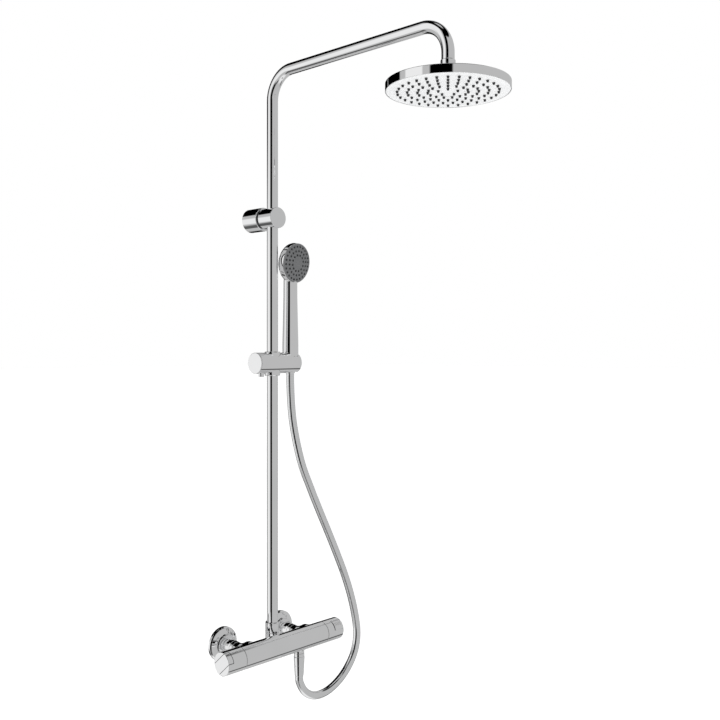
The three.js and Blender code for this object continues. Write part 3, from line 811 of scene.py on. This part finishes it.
def make_handset():
    back = Matrix.Rotation(HEAD_TURN, 3, "Z") @ Matrix.Rotation(HEAD_NOD, 3, "X") @ -OUT
    face = centre("handset_nozzle_mat") - back * 3.6 * MM
    spigot = centre("upper_hose_nut")
    foot = Vector((spigot.x, spigot.y, Vector(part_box("handset_shell")[0]).z))
    joint = (face.z - foot.z) / MM
    outline = [
        (9.4, 0), (15.2, 0, 0.3), (16, 1.1, 0.6), (16, 26, 30), (14.9, 72, 200), (14, 118, 200),
        (13.8, joint - 33, 2), (13.2, joint - 32.6, 0.2), (13.2, joint - 31.8, 0.2), (13.8, joint - 31.4, 1),
        (13.8, joint - 20, 6), (9, joint - 8, 4), (0, joint - 7),
    ]
    inside = [(0, 150), (6, 150), (6, 20), (9.4, 20)]
    handle = turned("handset_handle", [*inside, *outline], foot, segments=ROUND)
    radius = 40
    shell = [
        (0, 4.8), (37, 4.8), (38.9, 2.4), (38.9, -0.1, 0.2), (39.5, -0.3, 0.3), (radius, 0.6, 0.6),
        (radius, 9.6, 5), (38.8, 13.4, 5), (35.8, 16.8, 10), (31, 20.4, 18), (24.5, 24.2, 30), (14, 27.4, 40),
        (0, 28.5),
    ]
    head = turned("handset_head_shell", shell, face, back, segments=128)
    finish(handle, CHROME, "handset", "handset_shell")
    finish(head, CHROME, "handset")

    dome = 4.2  # rise of the domed face
    edge = 38.7
    reach = (edge**2 + dome**2) / (2 * dome)  # radius of the face's sphere
    fall = [(edge * k / 24, reach - dome - math.sqrt(reach**2 - (edge * k / 24) ** 2)) for k in range(25)]
    skin = [(r, h, 0) for r, h in fall[:-1]]
    ring_lines = [*skin, (edge, 0.1, 0.3), (edge, 2.2), (0, 2.2)]
    plate = turned("handset_spray_face", ring_lines, face, back, segments=128)
    finish(plate, GREY, "handset", "handset_face")

    side = back.cross(UP).normalized()
    other = side.cross(back)
    nubs = []
    for ring_radius, count in ((16, 12), (24.4, 18), (33, 24)):
        for k in range(count):
            angle = 2 * math.pi * (k + 0.5) / count
            spoke = side * math.cos(angle) + other * math.sin(angle)
            height = math.sqrt(reach**2 - ring_radius**2) - (reach - dome)
            at = face + spoke * ring_radius * MM - back * height * MM
            lean = (spoke * ring_radius - back * (reach - dome + height)).normalized()
            nub = [
                (0, -1), (2.2, -1), (2.2, 0.1, 0.2), (1.6, 1.0, 0.3), (0.6, 1.0, 0.1), (0.5, 0.3, 0.1),
                (0, 0.3),
            ]
            nubs.append(turned("nub", nub, at, lean, segments=20))
    finish(joined("handset_nozzles", nubs), NOZZLE, "handset", "handset_nozzle_mat")


# ------------------------------------------------------------------ overhead head
def make_overhead():
    width, _, length = span("arm_end_nut")
    radius = width / 2
    outline = [
        (9.5, 0), (radius - 1, 0, 0.5), (radius, 1.1, 0.6), (radius, 6.4, 0.2), (radius - 0.5, 6.7, 0.1),
        (radius, 7, 0.2), (radius, length - 1, 0.5), (11.7, length, 0.3), (11.2, length), (11.2, 4.5),
        (9.5, 4.5),
    ]
    nut = turned("arm_union_nut", outline, start("arm_end_nut", UP), closed=True)
    finish(nut, CHROME, "column", "arm_end_nut")
    shell_at = centre("head_top_shell")
    ball = Vector((shell_at.x, shell_at.y, Vector(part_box("ball_stem")[0]).z + 0.0076))
    ball_radius = 8
    steps = 12
    lowest = -math.pi / 2
    highest = math.pi / 2 * 0.567  # where the stem's neck leaves the ball
    sphere = []
    for k in range(steps + 1):
        angle = lowest + k * (highest - lowest) / steps
        sphere.append((ball_radius * math.cos(angle), ball_radius * math.sin(angle), 0))
    stem = turned("head_ball", [*sphere, (5, 7, 0.8), (5, 13), (0, 13)], ball, segments=64)
    finish(stem, CHROME, "head_ball", "ball_stem")

    low, high = map(Vector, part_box("ball_cap"))
    height = (high.z - low.z) / MM
    radius = (high.x - low.x) / 2 / MM
    outline = [
        (10.9, 0), (radius - 0.8, 0, 0.4), (radius, 0.9, 0.5), (radius, height - 3, 0.5),
        (radius - 1.6, height, 0.7), (8, height, 0.3), (8, height - 1.6, 0.3), (10.9, height - 2),
    ]
    cap = turned("ball_cap_nut", outline, start("ball_cap", UP), closed=True)
    for k in range(2):
        flat = Matrix.Translation(ball) @ Matrix.Rotation(math.pi * k, 4, "Z")
        carve(cap, box_mesh("flat", Vector((0.0132, -0.02, -0.03)), Vector((0.03, 0.02, 0.03)), flat))
    finish(cap, CHROME, "overhead_head", "ball_cap")

    width, _, length = span("head_top_shell")
    radius = width / 2
    wall = 1.3
    rim = length - 4.8
    outline = [
        (radius - wall, rim - 1.8, 0.5), (radius - wall, 1.3), (radius - wall + 0.4, 0, 0.3),
        (radius, 0, 0.6), (radius, rim, 1.6), (60, rim + 1.6, 300), (18, length - 1.3, 8),
        (14.6, length, 1), (6, length, 0.4), (6, length - 3), (60, rim - 0.3, 200),
    ]
    shell = turned("head_cover", outline, start("head_top_shell", UP), closed=True, segments=192)
    finish(shell, CHROME, "overhead_head", "head_top_shell")

    recess = 0.3  # of the face behind the shell's rim
    at = start("head_top_shell", UP) + UP * recess * MM
    top = (Vector(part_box("head_face_plate")[1]).z - at.z) / MM
    radius -= wall + 0.15
    outline = [(0, 0), (radius, 0, 0.4), (radius, top), (0, top)]
    plate = turned("head_spray_plate", outline, at, segments=192)
    finish(plate, WHITE, "overhead_head", "head_face_plate")
    nubs = []
    ring_step = 16.9  # between the rings of nozzles
    first_angle = math.radians(1.4)
    for k, count in enumerate((5, 15, 20, 25, 30), start=1):
        for n in range(count):
            angle = 2 * math.pi * n / count + first_angle
            place = at + Vector((math.cos(angle), math.sin(angle), 0)) * ring_step * k * MM
            nub = [
                (0, -0.6), (2.4, -0.6), (2.4, 0.4, 0.3), (1.9, 3.5, 0.4), (0.7, 3.5, 0.15), (0.6, 1.5, 0.1),
                (0, 1.5),
            ]
            nubs.append(turned("nub", nub, place, -UP, segments=24))
    finish(joined("head_nozzles", nubs), NOZZLE, "overhead_head", "head_nozzle_mat")


# ------------------------------------------------------------------ CAD nodes that stay
def finish_node(name, look):
    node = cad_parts[name]
    node.data.materials.clear()
    node.data.materials.append(look)


KEPT = {
    "pipe_joint_sleeve": BRASS, "riser_washer": DARK, "left_inlet_strainer": DARK,
    "right_inlet_strainer": DARK, "thermostatic_cartridge": BRASS, "diverter_cartridge": NYLON,
    "outlet_check_valve": NYLON, "lower_hose_washer": DARK, "handset_washer": DARK,
    "arm_end_washer": DARK, "ball_seat": NYLON,
}


# ------------------------------------------------------------------ surroundings
TENT = 0.5  # brightness of the white tent round the column; 1 is white
FLAG = 0.0  # black card
DIM = 0.1  # dark grey card
SOFT_BOX = 0.85
SOFT_EDGE = 4  # degrees over which a card fades into the tent

# Cards in the tent, as (from, to, brightness). Bearings are in degrees, to the right of the camera as
# seen from the column.
LOW_CARDS = [(-130, -100, DIM), (-30, 0, DIM), (110, 130, DIM)]
LEVEL_CARDS = [(-180, -140, FLAG), (-100, -50, SOFT_BOX), (-40, 0, FLAG)]
HIGH_CARDS = [(-180, -100, FLAG), (-90, -50, SOFT_BOX), (-40, 5, FLAG)]


def make_world(looking):
    world = bpy.data.worlds.new("studio")
    bpy.context.scene.world = world
    world.use_nodes = True
    tree = world.node_tree
    tree.nodes.clear()

    def add(kind, **values):
        node = tree.nodes.new(kind)
        for key, value in values.items():
            setattr(node, key, value)
        return node

    def link(source, target):
        tree.links.new(source, target)

    def math_node(operation, first, second):
        node = add("ShaderNodeMath", operation=operation)
        link(first, node.inputs[0])
        link(second, node.inputs[1])
        return node.outputs[0]

    direction = add("ShaderNodeTexCoord").outputs["Generated"]

    def along(axis):
        node = add("ShaderNodeVectorMath", operation="DOT_PRODUCT")
        link(direction, node.inputs[0])
        node.inputs[1].default_value = axis
        return node.outputs["Value"]

    right = looking.cross(UP)
    bearing = math_node("ARCTAN2", along(right), along(-looking))

    def ring_of(cards):
        """The tent's brightness round the compass, with its cards."""
        brightness = TENT
        for first, last, light in cards:
            inside = ramp(last, last - SOFT_EDGE)
            if first > -180:
                inside = math_node("MULTIPLY", ramp(first, first + SOFT_EDGE), inside)
            brightness = mixed(inside, brightness, light)
        return brightness

    def ramp(outer, inner):
        """Rises from 0 to 1 from the outer bearing to the inner one."""
        share = add("ShaderNodeMapRange", interpolation_type="SMOOTHSTEP")
        link(bearing, share.inputs["Value"])
        share.inputs["From Min"].default_value = math.radians(outer)
        share.inputs["From Max"].default_value = math.radians(inner)
        return share.outputs["Result"]

    def mixed(share, first, second):
        blend = add("ShaderNodeMix", data_type="FLOAT")
        link(share, blend.inputs["Factor"])
        for socket, value in ((blend.inputs["A"], first), (blend.inputs["B"], second)):
            if isinstance(value, (int, float)):
                socket.default_value = value
            else:
                link(value, socket)
        return blend.outputs["Result"]

    height = along(UP)

    def between(first, second, low, high):
        """Goes from first to second as the height of the direction goes from low to high degrees."""
        share = add("ShaderNodeMapRange", interpolation_type="SMOOTHSTEP")
        link(height, share.inputs["Value"])
        share.inputs["From Min"].default_value = math.sin(math.radians(low))
        share.inputs["From Max"].default_value = math.sin(math.radians(high))
        return mixed(share.outputs["Result"], first, second)

    shade = between(ring_of(LOW_CARDS), ring_of(LEVEL_CARDS), -35, -25)
    shade = between(shade, ring_of(HIGH_CARDS), 5, 15)
    shade = between(SOFT_BOX, shade, -75, -55)
    shade = between(shade, FLAG, 50, 55)
    shade = between(shade, TENT, 75, 85)
    seen = add("ShaderNodeLightPath").outputs["Is Camera Ray"]
    colour = add("ShaderNodeMix", data_type="RGBA")
    link(seen, colour.inputs["Factor"])
    link(shade, colour.inputs["A"])
    colour.inputs["B"].default_value = (1, 1, 1, 1)
    background = add("ShaderNodeBackground")
    link(colour.outputs["Result"], background.inputs["Color"])
    output = add("ShaderNodeOutputWorld")
    link(background.outputs[0], output.inputs["Surface"])


def make_stage():
    """A plain pale floor, well below the hose, and soft light for the matt surfaces."""
    floor = linked("floor", box_mesh("floor", Vector((-60, -60, -0.92)), Vector((60, 60, -0.9))))
    look, nodes = material("pale_floor", Roughness=0.8, Emission_Strength=0.9)
    nodes.coloured(nodes.noise(3), (0.86, 0.86, 0.86), (0.9, 0.9, 0.9))
    nodes.shader.inputs["Emission Color"].default_value = (1, 1, 1, 1)
    floor.data.materials.append(look)
    floor.visible_glossy = False
    target = Vector((0, -0.2, 0.7))
    for name, place, size, power in (
        ("key_light", (-1.9, -1.9, 1.9), 1.6, 30),
        ("fill_light", (1.9, -2.2, 1.2), 1.8, 16),
        ("floor_bounce", (-0.2, -0.9, -0.7), 2.0, 14),
    ):
        data = bpy.data.lights.new(name, "AREA")
        data.size = size
        data.energy = power
        lamp = bpy.data.objects.new(name, data)
        bpy.context.scene.collection.objects.link(lamp)
        lamp.location = place
        lamp.rotation_euler = (target - lamp.location).to_track_quat("-Z", "Y").to_euler()
        lamp.visible_glossy = False


# ------------------------------------------------------------------ making
looking = make_camera()
make_hose_ends()
make_hose()
make_riser()
make_bracket()
for side in ("left", "right"):
    make_inlet(side)
make_valve()
make_temperature_handle()
make_diverter_handle()
make_slider()
make_handset()
make_overhead()
for name, look in KEPT.items():
    finish_node(name, look)
make_world(looking)
make_stage()
bpy.context.scene.view_settings.view_transform = "Standard"
